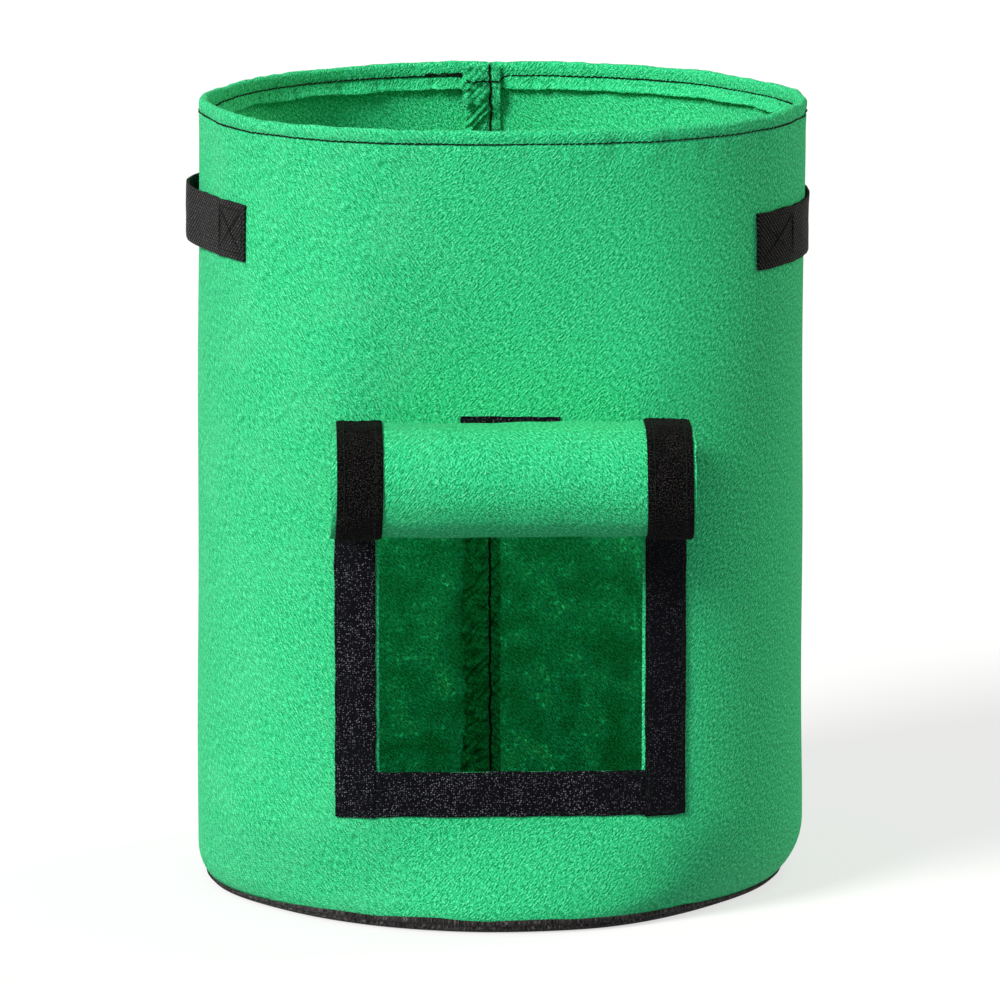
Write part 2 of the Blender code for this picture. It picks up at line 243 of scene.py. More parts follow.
def grid_normals(points):
    """Unit normals of a grid of points, one row shorter at both ends than the grid."""
    across = np.gradient(points, axis=0)
    along = np.gradient(points, axis=1)
    return unit(np.cross(across, along))[:, 1:-1]


def keep_smooth(item, top, bottom):
    """Give a joined piece the normals of the whole surface, so that no joint shows.

    top and bottom are its grids with one more row of points at both ends.
    """
    mesh = item.data
    normals = np.concatenate([grid_normals(grid).reshape(-1, 3) for grid in (top, bottom)])
    vertex = loop_vertices(mesh)
    face = np.repeat(np.arange(len(mesh.polygons)), [p.loop_total for p in mesh.polygons])
    facing = np.array([p.normal for p in mesh.polygons])[face]
    slot = np.array([p.material_index for p in mesh.polygons])[face]
    chosen = normals[vertex]
    chosen *= np.sign((chosen * facing).sum(axis=1))[:, None]
    chosen[slot == 2] = 0.0
    mesh.normals_split_custom_set(chosen.tolist())


def wall_patch(name, x_low, x_high, z_low, z_high, inner, outer, material, step, ragged, seed):
    """Piece sewn flat on the wall's front, with slightly uneven edges."""
    columns = max(3, int((x_high - x_low) / step) + 1)
    rows = max(3, int((z_high - z_low) / step) + 1)
    x, z = grid(np.linspace(x_low, x_high, columns), np.linspace(z_low, z_high, rows))
    turn = turn_at(x + ragged * waves(x, z, seed, 0.03))
    high = z + ragged * waves(x, z, seed + 1, 0.03)
    puff = 0.0002 * waves(x, z, seed + 2, 0.02)
    top = wall_points(turn, high, outer + puff)
    bottom = wall_points(turn, high, inner)
    return sheet_solid(name, top, bottom, np.stack((x, z), axis=-1), material)


def stitch_tubes(centres, along, up, length, radius):
    """Points and faces of one short tube for each stitch, with its ends sunk in the felt."""
    along = unit(along)
    side = unit(np.cross(up, along))
    up = np.cross(along, side)
    shares = np.array((-0.5, -0.36, 0.0, 0.36, 0.5))
    lift = 0.8
    heights = np.array((-0.35, 0.7, 1.0, 0.7, -0.35)) * radius * lift
    widths = np.array((0.7, 1.0, 1.15, 1.0, 0.7)) * radius
    sides, last = 6, len(shares) - 1
    angles = np.arange(sides) * math.tau / sides
    rings = []
    for share, height, width in zip(shares, heights, widths):
        middle = centres + along * (share * length) + up * height
        ring = (middle[:, None] + up[:, None] * np.cos(angles)[None, :, None] * width
                + side[:, None] * np.sin(angles)[None, :, None] * width)
        rings.append(ring)
    points = np.stack(rings, axis=1).reshape(-1, 3)
    faces = []
    for number in range(len(centres)):
        first = number * len(shares) * sides
        for ring in range(last):
            for k in range(sides):
                a = first + ring * sides + k
                b = first + ring * sides + (k + 1) % sides
                faces.append((a, b, b + sides, a + sides))
        faces.append(tuple(range(first + sides - 1, first - 1, -1)))
        faces.append(tuple(range(first + last * sides, first + len(shares) * sides)))
    return points, faces


def stitch_row(name, path, up, material, pitch=STITCH, slant=0.12, radius=THREAD, cover=1.02):
    """Stitches laid along a dense path of points; up points out of the felt.

    cover is a stitch's length as a share of its pitch.
    """
    gaps = np.linalg.norm(np.diff(path, axis=0), axis=1)
    reach = np.concatenate(([0.0], np.cumsum(gaps)))
    count = max(1, int(reach[-1] / pitch))
    at = (np.arange(count) + 0.5) * reach[-1] / count
    at = at + rng.normal(0.0, pitch * 0.03, count)

    def read(values, places):
        return np.stack([np.interp(places, reach, values[:, k]) for k in range(3)], axis=1)

    normals = unit(read(up, at))
    along = unit(read(path, at + 0.001) - read(path, at - 0.001))
    side = np.cross(normals, along)
    along = along + side * (slant + rng.normal(0.0, 0.04, count))[:, None]
    points, faces = stitch_tubes(read(path, at), along, normals, pitch * cover, radius)
    return finish_mesh(name, points, faces, np.zeros((len(points), 2)), (material,))


def wall_row(turn, z, out):
    """Path on the wall and the way out of it, for a row of stitches."""
    path = wall_points(turn, z, out)
    return path, wall_points(turn, z, np.asarray(out) + 0.01) - path


def sew(name, path, up, thread, *nodes, **how):
    """Row of stitches that moves with the bag's body and stands for the nodes."""
    on_bag(stitch_row(name, path, up, thread, **how), "sewing_thread", *nodes)


def on_bag(item, slot, *nodes):
    """The piece moves with the bag's body and stands for the nodes."""
    if nodes:
        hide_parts(*nodes)
    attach(item, "bag")


# ---------------- materials

class Shader:
    """Small helper that adds and links shader nodes."""

    def __init__(self, name):
        self.material = bpy.data.materials.new(name)
        self.material.use_nodes = True
        self.tree = self.material.node_tree
        self.main = self.tree.nodes["Principled BSDF"]

    def node(self, kind, inputs=None, **settings):
        made = self.tree.nodes.new("ShaderNode" + kind)
        for key, value in settings.items():
            setattr(made, key, value)
        self.feed(made, inputs or {})
        return made

    def feed(self, node, inputs):
        for key, value in inputs.items():
            if isinstance(value, bpy.types.NodeSocket):
                self.tree.links.new(value, node.inputs[key])
            else:
                node.inputs[key].default_value = value

    def uv(self, turn=0.0, scale=(1.0, 1.0)):
        """Surface coordinates in metres, turned by an angle in degrees and scaled."""
        where = self.node("TexCoord").outputs["UV"]
        turned = self.node("Mapping", {"Vector": where,
                                       "Rotation": (0.0, 0.0, math.radians(turn))})
        return self.node("Mapping", {"Vector": turned.outputs[0], "Scale": (*scale, 1.0)}
                         ).outputs[0]

    def noise(self, vector, scale, detail=4.0, rough=0.6, distort=0.0):
        made = self.node("TexNoise", {"Vector": vector, "Scale": scale, "Detail": detail,
                                      "Roughness": rough, "Distortion": distort})
        return made.outputs["Fac"]

    def math(self, operation, first, second=0.0):
        return self.node("Math", {0: first, 1: second}, operation=operation).outputs[0]

    def span(self, value, low, high, to_low=0.0, to_high=1.0):
        made = self.node("MapRange", {"Value": value, "From Min": low, "From Max": high,
                                      "To Min": to_low, "To Max": to_high})
        return made.outputs[0]

    def part(self, vector, index):
        return self.node("SeparateXYZ", {0: vector}).outputs[index]

    def finish(self, colour, rough, bump, gloss, others=None):
        """Set the surface's inputs and give the material back."""
        self.feed(self.main, {"Base Color": colour, "Roughness": rough, "Normal": bump,
                              "Specular IOR Level": gloss, **(others or {})})
        return self.material

    def times(self, first, second):
        return self.math('MULTIPLY', first, second)

    def mix(self, share, first, second):
        """Colour between two colours; one given as three numbers is made opaque."""
        first, second = [(*colour, 1.0) if isinstance(colour, tuple) else colour
                         for colour in (first, second)]
        return self.node("Mix", {0: share, 6: first, 7: second}, data_type='RGBA').outputs[2]

    def bump(self, height, strength, distance, normal=None):
        inputs = {"Height": height, "Strength": strength, "Distance": distance}
        if normal is not None:
            inputs["Normal"] = normal
        return self.node("Bump", inputs).outputs[0]


def fibres(shader, directions, width=1500.0, length=70.0):
    """Thin lines along several directions, as in needle-punched felt: 0 to 1."""
    best = None
    for turn in directions:
        vector = shader.uv(turn, (length, width))
        thread = shader.noise(vector, 1.0, 2.0, 0.5, 0.25)
        ridge = shader.math('ABSOLUTE', shader.math('SUBTRACT', thread, 0.5))
        line = shader.span(ridge, 0.0, 0.024, 1.0, 0.0)
        best = line if best is None else shader.math('MAXIMUM', best, line)
    return best


def turned_mix(shader, share, first, second):
    """Blend two noises about 0.5 so that the contrast stays the same everywhere."""
    angle = shader.times(share, math.pi / 2.0)
    parts = []
    for operation, noise in (('COSINE', first), ('SINE', second)):
        swing = shader.math('SUBTRACT', noise, 0.5)
        parts.append(shader.times(swing, shader.math(operation, angle)))
    return shader.math('ADD', shader.math('ADD', parts[0], parts[1]), 0.5)


def felt_material(name, dark, light, pale_fibre_and_highlight, painted_glow=0.0, crease_shade=0.0):
    """Needle-punched felt: crisp slanting grain and long pale fibres. The pale colour of the fibre
    lines and grain tips is partly the felt's own and partly painted highlight; the lines lie
    mostly on the lit left front.

    The glow is painted light: an emission that stands in for the light coming through the felt's
    thin places from outside. The crease setting is how dark the painted shade in the slanting
    creases of a puckered seam is.
    """
    shader = Shader(name)
    flat = shader.uv()
    grain = shader.noise(flat, 1080.0, 1.0, 0.5)
    falling = shader.noise(shader.uv(52.0, (270.0, 1050.0)), 1.0, 2.0, 0.5)
    rising = shader.noise(shader.uv(-48.0, (400.0, 1000.0)), 1.0, 2.0, 0.5)
    around = shader.part(flat, 0)
    wander = shader.noise(flat, 16.0, 2.0, 0.5)
    place = shader.math('ADD', around, shader.times(wander, 0.16))
    # left marks the left front, where the grain slants the other way and where the pale fibre
    # lines, partly painted highlight, lie on the lit side
    left = shader.times(shader.span(place, 0.065, 0.015), shader.span(place, -0.30, -0.20))
    slanted = turned_mix(shader, left, rising, falling)
    tone = turned_mix(shader, 0.62, grain, slanted)
    lines = fibres(shader, (52.0, 44.0, 60.0))
    patchy = shader.span(shader.noise(flat, 24.0, 2.0, 0.5), 0.44, 0.62)
    lines = shader.times(shader.times(lines, patchy), left)
    crossing = shader.times(fibres(shader, (-44.0, 20.0)), 0.25)
    lines = shader.math('MAXIMUM', lines, shader.times(crossing, patchy))
    colour = shader.mix(shader.span(tone, 0.36, 0.60), dark, light)
    # pale grain tips and fibre lines take the pale colour: partly the felt's own fibres, partly
    # painted highlight
    highlight_tips = shader.span(tone, 0.58, 0.70, 0.0, 0.8)
    share = shader.math('MAXIMUM', highlight_tips, shader.times(lines, 0.28))
    colour = shader.mix(share, colour, pale_fibre_and_highlight)
    if crease_shade:
        # painted shade: slanting creases darkened to deep green, more so low on the seam, standing
        # in for the shade in the puckers
        crease_shade_mask = shader.noise(shader.uv(45.0, (90.0, 330.0)), 1.0, 2.0, 0.5)
        upwards = shader.part(flat, 1)
        crease_shade_mask = shader.times(shader.span(crease_shade_mask, 0.54, 0.62),
                              shader.span(upwards, 0.28, 0.40, crease_shade, crease_shade * 0.3))
        colour = shader.mix(crease_shade_mask, colour, (0.001, 0.07, 0.020))
    height = shader.math('ADD', tone, shader.times(lines, 0.02))
    shader.finish(colour, shader.span(grain, 0.3, 0.7, 0.95, 0.8),
                  shader.bump(height, 1.0, 0.0019), 0.08,
                  {"Sheen Weight": 0.04, "Sheen Roughness": 0.5})
    # painted light: emission in mottled spots, fading out higher up, stands in for light coming
    # through the felt's thin places
    if painted_glow:
        thin = shader.noise(flat, 45.0, 3.0, 0.6)
        speck = shader.span(shader.noise(flat, 330.0, 2.0, 0.5), 0.55, 0.70, 0.0, 3.2)
        low = shader.part(flat, 1)
        cloudy = shader.span(thin, 0.40, 0.62, 0.1, 1.9)
        speck = shader.times(speck, shader.times(cloudy, cloudy))
        speck = shader.times(shader.math('ADD', cloudy, speck),
                             shader.span(tone, 0.36, 0.64, 0.45, 1.55))
        painted_light_through = shader.times(speck, shader.span(low, 0.20, 0.40, painted_glow, 0.0))
        shader.feed(shader.main, {
            "Emission Color": shader.mix(shader.span(thin, 0.50, 0.70),
                                         (0.010, 1.0, 0.40), (0.060, 1.0, 0.20)),
            "Emission Strength": painted_light_through,
        })
        shader.material.cycles.emission_sampling = 'NONE'
    return shader.material


def shaded(colour, share):
    """The colour with its brightness multiplied by share."""
    return tuple(part * share for part in colour)


def webbing_material(name, share, gloss):
    """Black twill webbing: slanting ribs crossed by finer yarns, with pale flecks."""
    shader = Shader(name)
    rib, yarn = [shader.node("TexWave", {"Vector": shader.uv(turn), "Scale": scale,
                                         "Distortion": wander, "Detail": 1.0}).outputs["Fac"]
                 for turn, scale, wander in ((48.0, 145.0, 0.8), (90.0, 175.0, 0.6))]
    grain = shader.noise(shader.uv(), 800.0, 3.0, 0.7)
    weave = shader.times(rib, shader.math('MULTIPLY_ADD', yarn, 0.6))
    tone = shader.times(weave, grain)
    flecks = shader.span(shader.noise(shader.uv(48.0, (500.0, 1300.0)), 1.0, 1.0, 0.5), 0.60, 0.72)
    # share below 1 darkens the colours: painted shade for the copy on the unlit side
    colour = shader.mix(shader.span(tone, 0.10, 0.62), (0.002, 0.002, 0.0025),
                        shaded((0.055, 0.050, 0.050), share))
    colour = shader.mix(shader.times(flecks, weave), colour, shaded((0.24, 0.23, 0.23), share))
    height = shader.math('ADD', weave, shader.times(grain, 0.4))
    return shader.finish(colour, shader.span(weave, 0.0, 1.0, 0.75, 0.5),
                         shader.bump(height, 1.0, 0.0009), gloss)


def hook_material(name, share):
    """Stiff black tape with rows of small hooks; their glints are painted highlights, pale bluish
    specks in the colour.
    """
    shader = Shader(name)
    flat = shader.uv()
    cells = shader.node("TexVoronoi", {"Vector": flat, "Scale": 820.0, "Randomness": 0.6})
    hook = shader.span(cells.outputs["Distance"], 0.10, 0.42, 1.0, 0.0)
    pick = shader.span(shader.noise(flat, 700.0, 1.0, 0.5), 0.36, 0.54)
    # painted highlight: pale glints on a share of the hooks, set in the colour
    painted_glint = shader.times(hook, pick)
    band = shader.noise(shader.uv(0.0, (40.0, 40.0)), 1.0, 2.0, 0.5)
    painted_glint = shader.times(painted_glint, shader.span(band, 0.35, 0.65, 0.35, 1.0))
    # share below 1 darkens the glints: painted shade for the copy on the unlit side
    colour = shader.mix(painted_glint, (0.0012, 0.0014, 0.003), shaded((0.46, 0.46, 0.56), share))
    return shader.finish(colour, shader.span(painted_glint, 0.0, 1.0, 0.8, 0.35),
                         shader.bump(hook, 1.0, 0.0008), 0.08)


def loop_material():
    """Soft black loop tape: brushed, dull, with a little fluff."""
    shader = Shader("loop_tape")
    flat = shader.uv()
    fluff = shader.noise(flat, 650.0, 6.0, 0.8, 0.6)
    cloud = shader.noise(flat, 90.0, 3.0, 0.6)
    dots = shader.span(shader.noise(flat, 1250.0, 1.0, 0.5), 0.52, 0.68)
    tone = shader.times(dots, shader.span(cloud, 0.3, 0.7, 0.4, 1.0))
    colour = shader.mix(tone, (0.0012, 0.0012, 0.0012), (0.065, 0.060, 0.060))
    return shader.finish(colour, shader.span(fluff, 0.3, 0.7, 0.98, 0.85),
                         shader.bump(fluff, 1.0, 0.0012, shader.bump(cloud, 0.5, 0.0015)),
                         0.03, {"Sheen Weight": 0.01, "Sheen Roughness": 0.5})


def thread_material():
    shader = Shader("sewing_thread")
    where = shader.node("TexCoord").outputs["Object"]
    ply = shader.noise(where, 2400.0, 2.0, 0.6)
    colour = shader.mix(ply, (0.001, 0.005, 0.002), (0.006, 0.018, 0.009))
    return shader.finish(colour, shader.span(ply, 0.3, 0.7, 0.85, 0.65),
                         shader.bump(ply, 0.6, 0.0002), 0.12)


# ---------------- the bag's wall

def wall_columns():
    """Angles of the wall's columns, two of them moved to the window's sides."""
    turns = np.linspace(-math.pi, math.pi, WALL_COLUMNS, endpoint=False)
    for edge in (WINDOW_LEFT, WINDOW_RIGHT):
        target = float(turn_at(edge))
        turns[np.argmin(np.abs(turns - target))] = target
    return turns


def wall_rows():
    """Heights of the wall's rows up to the rim's fold, two of them at the window's ends."""
    rows = [BASE_LIP + 0.0003, 0.0075, 0.0100, 0.0130, 0.0165, 0.0205, 0.0250, 0.0300, 0.0350]
    rows += list(np.arange(0.0405, FOLD_BOTTOM - 0.0300, 0.0058))
    rows += list(np.arange(FOLD_BOTTOM - 0.0262, FOLD_BOTTOM - 0.0080, 0.0022))
    rows += list(np.arange(FOLD_BOTTOM - 0.0070, FOLD_BOTTOM + 0.0001, 0.0010))
    rows = np.array(rows)
    for edge in (WINDOW_BOTTOM, WINDOW_TOP):
        rows[np.argmin(np.abs(rows - edge))] = edge
    return rows


def seam_distance(turn):
    """Distance along the wall from the back seam, positive to the left from the front."""
    turn = np.asarray(turn) % math.tau
    return (turn - math.pi) * RADIUS


def rim_pinch(turn, z, at):
    """How far the thread pulls the felt in beside a row of stitches."""
    beat = 0.7 + 0.3 * np.cos(turn * RADIUS * math.tau / STITCH)
    return 0.0009 * beat * np.exp(-((z - at) / 0.0015) ** 2)


def creases(turn, seed, gap, width):
    """Short folds at uneven places round the rim: 0 to 1."""
    local = np.random.default_rng(seed)
    places = np.cumsum(local.uniform(0.3 * gap, 1.7 * gap, int(math.tau * RADIUS / gap)))
    depths = local.uniform(0.3, 1.0, len(places))
    x = (turn % math.tau) * RADIUS
    total = np.zeros(np.shape(x))
    for place, depth in zip(places, depths):
        total = total + depth * np.exp(-((x - place) / width) ** 2)
    return total


def rim_outside(turn, z):
    """How far the wall's outer face lies from the smooth wall."""
    pucker = 0.0005 * waves(turn * RADIUS, z * 0.3, 22, 0.026, 2)
    pucker = pucker * ease((z - HEIGHT + 0.022) / 0.006)
    groove = 0.0012 * np.exp(-(seam_distance(turn) / 0.0018) ** 2)
    below = RIM_STITCH - 0.0012 - z
    dents = creases(turn, 25, 0.055, 0.0017) * ease(below / 0.002)
    dents = 0.0010 * dents * (1.0 - ease(below / 0.024))
    return pucker - rim_pinch(turn, z, RIM_STITCH) - groove - dents


def hem_inside(turn, z):
    """How far in the hem's visible face lies."""
    x = turn * RADIUS
    pucker = 0.0005 * waves(x, z * 0.3, 22, 0.026, 2)
    below = RIM_STITCH_INSIDE - 0.001 - z
    loose = ease(below / 0.008)
    ruffle = loose * (0.0008 + 0.0007 * waves(x, 0.0, 26, 0.045, 2))
    folded = 0.0024 * creases(turn, 24, 0.030, 0.0015) * ease(below / 0.003)
    flare = 0.0014 * ease((HEIGHT - HEM_DEPTH + 0.0040 - z) / 0.0040)
    deep = 2.0 * FELT + 0.0005 + ruffle + flare - folded
    return pucker - deep + rim_pinch(turn, z, RIM_STITCH_INSIDE)


def make_wall(felt, inside):
    """One sheet: up the wall, over the rim and down the inside as its hem."""
    turns = wall_columns()
    rows = wall_rows()
    turn, z = grid(turns, rows)
    outer = rim_outside(turn, z)
    top, bottom = [wall_points(turn, z, outer)], [wall_points(turn, z, outer - FELT)]
    front, back = outer[:, -1], hem_inside(turns, np.full_like(turns, FOLD_BOTTOM))
    middle, radius = (front + back) / 2.0, (front - back) / 2.0
    uneven = 0.0004 * waves(turns * RADIUS, 0.0, 23, 0.09)
    uneven = uneven + 0.0002 * waves(turns * RADIUS, 0.0, 28, 0.012, 2)
    for degrees in np.arange(20.0, 180.0, 20.0):
        angle = math.radians(degrees)
        for grids, reach in ((top, radius), (bottom, radius - FELT)):
            rise = FOLD_BOTTOM + reach * math.sin(angle) * 0.95 + uneven * math.sin(angle)
            grids.append(wall_points(turns, rise, middle + reach * math.cos(angle))[:, None])
    hem_share = np.concatenate((np.linspace(0.0, 0.35, 6), np.linspace(0.42, 1.0, 10)))
    hem_end = HEIGHT - HEM_DEPTH + 0.0006 * waves(turns * RADIUS, 0.0, 21, 0.05)
    share, turn = np.meshgrid(hem_share, turns)
    down = FOLD_BOTTOM + (hem_end[:, None] - FOLD_BOTTOM) * share
    face = hem_inside(turn, down)
    top.append(wall_points(turn, down, face))
    bottom.append(wall_points(turn, down, face + FELT))
    top = np.concatenate(top, axis=1)
    bottom = np.concatenate(bottom, axis=1)
    lengths = np.linalg.norm(np.diff(top[0], axis=0), axis=1)
    along = rows[0] + np.concatenate(([0.0], np.cumsum(lengths)))
    uv = np.stack(grid(turns * RADIUS, along), axis=-1)
    middle_x = RADIUS * np.sin((turns + np.roll(turns, -1)) / 2.0)
    hole_x = (np.cos(turns) > 0.0) & (middle_x > WINDOW_LEFT) & (middle_x < WINDOW_RIGHT)
    middle_z = np.full(top.shape[1] - 1, HEIGHT)
    middle_z[:len(rows) - 1] = (rows[1:] + rows[:-1]) / 2.0
    hole_z = (middle_z > WINDOW_BOTTOM) & (middle_z < WINDOW_TOP)
    keep = ~(hole_x[:, None] & hole_z[None, :])
    wall = sheet_solid("wall", top, bottom, uv, felt, closed=True, keep=keep, bevel=0.0,
                       under=inside)
    on_bag(wall, "wall_felt", "wall_panel", "rim_hem")


def make_rim_stitches(thread):
    """The hem's row of stitches on both faces, and the bar tack beside the back seam."""
    turn = np.linspace(-math.pi, math.pi, 2400)
    path, up = wall_row(turn, RIM_STITCH, rim_outside(turn, RIM_STITCH) + 0.0001)
    sew("rim_stitches_outside", path, up, thread, "rim_thread_outside")
    w = seam_distance(turn)
    on_seam = ease((w + SEAM_RIGHT) / 0.0007) * ease((SEAM_LEFT - w) / 0.0007)
    height = RIM_STITCH_INSIDE - 0.0030 * ease((w + 0.012) / 0.008) * ease((0.021 - w) / 0.008)
    depth = hem_inside(turn, height) - 0.0001
    depth = depth + (-seam_depths(w, height)[1] - 0.0004 - depth) * on_seam
    path, up = wall_row(turn, height, depth)
    sew("rim_stitches_inside", path, -up, thread, "rim_thread_inside", cover=1.1)
    along = np.linspace(0.016, 0.042, 27)
    height = RIM_STITCH_INSIDE + 0.0016 * (np.arange(27) % 2)
    turn = math.pi + along / RADIUS
    path, up = wall_row(turn, height, hem_inside(turn, height) - 0.0002)
    sew("rim_bar_tack", path, -up, thread, pitch=0.0017, radius=0.0006)


def seam_depths(w, z):
    """How far in the two faces of the seam's allowance lie; it runs over the hem."""
    share = (w / SEAM_LEFT).clip(0.0)
    ripple = waves(w, z * 1.6, 32, 0.016, 2)
    puff = 0.0017 * np.sin(share * math.pi).clip(0.0) * (1.0 + 0.55 * ripple)
    lift = 0.0008 * share ** 3 * (1.0 + ripple)
    over = ease((z - (HEIGHT - HEM_DEPTH - 0.024)) / 0.024)
    near_top = 1.0 - 0.5 * ease((z - RIM_STITCH_INSIDE + 0.004) / 0.006)
    stitch_line = 0.0007 * np.exp(-(w / 0.0013) ** 2)
    edge = 0.0014 * np.exp(-((w - SEAM_LEFT + 0.0028) / 0.0026) ** 2)
    slanted = 0.0012 * waves(z + abs(w), 0.0, 33, 0.0042, 2) * ease(abs(w) / 0.003)
    near = FELT + 0.0002 + lift + (FELT + 0.0022) * over
    raised = FELT * 0.9 + puff + 0.0004 * ripple + slanted + edge
    return near, near + raised.clip(0.0010) * near_top - stitch_line


def make_back_seam(felt, thread):
    """The seam's allowance, folded to one side inside the bag and puckered by its stitches."""
    across = np.linspace(-SEAM_RIGHT, SEAM_LEFT, 25)
    z = np.arange(0.0125, HEIGHT - 0.0016, 0.0011)
    w, z = grid(across, z)
    flare = 0.0011 * waves(0.0, z, 31, 0.020) * (w / SEAM_LEFT).clip(0.0)
    inner, outer = seam_depths(w, z)
    turn = math.pi + (w + flare) / RADIUS
    top = wall_points(turn, z, -outer)
    bottom = wall_points(turn, z, -inner)
    uv = np.stack((w, z), axis=-1)
    seam = sheet_solid("back_seam_allowance_folded", bottom, top, uv, felt)
    on_bag(seam, "wall_felt", "back_seam_allowance")
    rows = np.linspace(0.014, HEIGHT - 0.002, 420)
    stray = 0.0006 * waves(rows, 0.0, 34, 0.020, 2)
    path, up = wall_row(math.pi + stray / RADIUS, rows, 0.0001 - seam_depths(stray, rows)[1])
    sew("back_seam_stitches", path, -up, thread, "back_seam_thread", radius=0.0007, cover=1.25)


def make_base(black, felt, thread):
    """Black felt base: a flat disc whose edge turns up to meet the wall."""
    turns = np.linspace(-math.pi, math.pi, 240, endpoint=False)
    uneven = 0.0005 * waves(turns * RADIUS, 0.0, 40, 0.07)
    profile = ((0.0084, 0.0000), (0.0078, 0.0011), (0.0066, 0.0018), (0.0052, 0.0016),
               (0.0044, 0.0009), (0.0036, 0.0016), (0.0020, 0.0019), (0.0006, 0.0008))
    thin = 1.0 - 0.55 * ease((np.abs(np.sin(turns)) - 0.55) / 0.4)
    rings_under = [wall_points(turns, (z + uneven * z / 0.007) * thin, out)
                   for z, out in profile]
    low = wall_points(turns, 0.0, -0.0012)
    rings_under.append(low)
    lip_in = wall_points(turns, BASE_LIP, -FELT)
    low_in = wall_points(turns, FELT, -0.0075)
    rings_over = [lip_in + (low_in - lip_in) * share for share in np.linspace(0.0, 1.0, 9)]
    for share in (0.93, 0.8, 0.6, 0.4, 0.2, 0.04):
        uneven = 0.0004 * waves(low[:, 0] * share, low[:, 1] * share, 41, 0.08)
        rings_under.append(low * (share, share, 0.0))
        over = low_in * (share, share, 1.0)
        over[:, 2] = FELT + 0.0004 + uneven
        rings_over.append(over)
    under = np.stack(rings_under, axis=1)
    over = np.stack(rings_over, axis=1)
    uv = under[:, :, :2].copy()
    base = sheet_solid("base_felt_disc", over, under, uv, black, closed=True, bevel=0.0004)
    on_bag(base, "base_felt", "base_panel")
    ring = np.linspace(-math.pi, math.pi, 300, endpoint=False)
    turn, z = grid(ring, np.linspace(0.0058, 0.0168, 6))
    wavy = 0.0007 * waves(turn * RADIUS, z, 42, 0.03)
    top, bottom = [wall_points(turn, z + wavy, -FELT - deep) for deep in (0.0024, 0.0003)]
    uv = np.stack((turn * RADIUS, z), axis=-1)
    # the turned-in allowance takes the inside felt, with its painted glow
    allowance = sheet_solid("base_seam_turned_in", bottom, top, uv, felt, closed=True)
    on_bag(allowance, "wall_felt", "base_seam_allowance")
    turn = np.linspace(-math.pi, math.pi, 1400)
    path, up = wall_row(turn, 0.0112, -FELT - 0.0022)
    sew("base_stitches", path, -up, thread, "base_thread", pitch=0.0048)


# ---------------- tapes on the wall

def box_path(x_low, x_high, z_low, z_high, out, step=0.001):
    """Rectangle of points on the wall's front and the way out of it."""
    wide = np.arange(x_low, x_high, step)
    tall = np.arange(z_low, z_high, step)
    x = np.concatenate((wide, tall * 0.0 + x_high, wide[::-1], tall * 0.0 + x_low))
    z = np.concatenate((wide * 0.0 + z_low, tall, wide * 0.0 + z_high, tall[::-1]))
    return wall_row(turn_at(x), z, out)


def make_hook_tapes(hook, darker, thread):
    """Hook tape on three sides of the window and the strip that holds the rolled flap."""
    tapes = (
        ("hook_tape_bottom", -HOOK_INNER - 0.0006, HOOK_INNER + 0.0012, HOOK_BOTTOM + 0.0006,
         WINDOW_BOTTOM + 0.0006, TAPE),
        ("hook_tape_left", 0.0008 - HOOK_OUTER, -HOOK_INNER - 0.0007, HOOK_BOTTOM, HOOK_TOP,
         TAPE + 0.0004),
        ("hook_tape_right", HOOK_INNER + 0.0013, HOOK_OUTER, HOOK_BOTTOM, HOOK_TOP,
         TAPE + 0.0004),
        ("hold_strip", -HOLD_HALF, HOLD_HALF, HOLD_BOTTOM, HOLD_TOP, TAPE),
    )
    inset = 0.0022
    for number, (node, x_low, x_high, z_low, z_high, thick) in enumerate(tapes):
        # the right tape takes the darker copy: painted shade on the side away from the key light
        woven = darker if node == "hook_tape_right" else hook
        tape = wall_patch(node + "_woven", x_low, x_high, z_low, z_high, 0.0001, thick, woven,
                          0.0022, 0.0002, 50 + number)
        on_bag(tape, "hook_tape", node)
        path, up = box_path(x_low + inset, x_high - inset, z_low + inset, z_high - inset,
                            thick - 0.0004)
        sew(node + "_stitches", path, up, thread, pitch=0.0036, radius=0.0003)


# ---------------- handles

def strap_gap(degrees, bulge):
    """Gap between wall and strap: it hugs the wall, leaves it straight and bends back."""
    away = 90.0 - np.abs(90.0 - degrees) - STRAP_LEAVES
    straight = RADIUS * (1.0 / np.cos(np.radians(away.clip(0.0))) - 1.0)
    soft = 0.0012
    limit = bulge + 0.0008
    smaller = straight + limit - np.sqrt((straight - limit) ** 2 + soft ** 2)
    return 0.0003 + (smaller + math.sqrt(limit ** 2 + soft ** 2) - limit) / 2.0


def strap_half(name, low, high, side, bottom_edge, bulge, webbing):
    """Half of a strap, between two angles from the front in degrees."""
    degrees = np.linspace(low, high, 60)
    at, share = grid(degrees, np.linspace(0.0, 1.0, 13))
    length = np.radians(at) * RADIUS
    z = bottom_edge + STRAP_WIDTH * share
    z = z + 0.0004 * waves(length, 0.0, 60, 0.05)
    gap = strap_gap(at, bulge)
    free = ease((gap - 0.001) / 0.004)
    near = gap + 0.0002 * waves(length, z, 61, 0.04) + 0.0008 * free * np.sin(share * math.pi)
    thick = STRAP + 0.0002 * np.cos(share * math.tau)
    turn = side * np.radians(at)
    outer = wall_points(turn, z, near.clip(0.0002) + thick)
    inner = wall_points(turn, z, near.clip(0.0002))
    uv = np.stack((np.abs(length - math.pi / 2.0 * RADIUS), z), axis=-1)
    top, bottom = (outer, inner) if side > 0 else (inner, outer)
    half = sheet_solid(name, top, bottom, uv, webbing, bevel=0.0004)
    return half


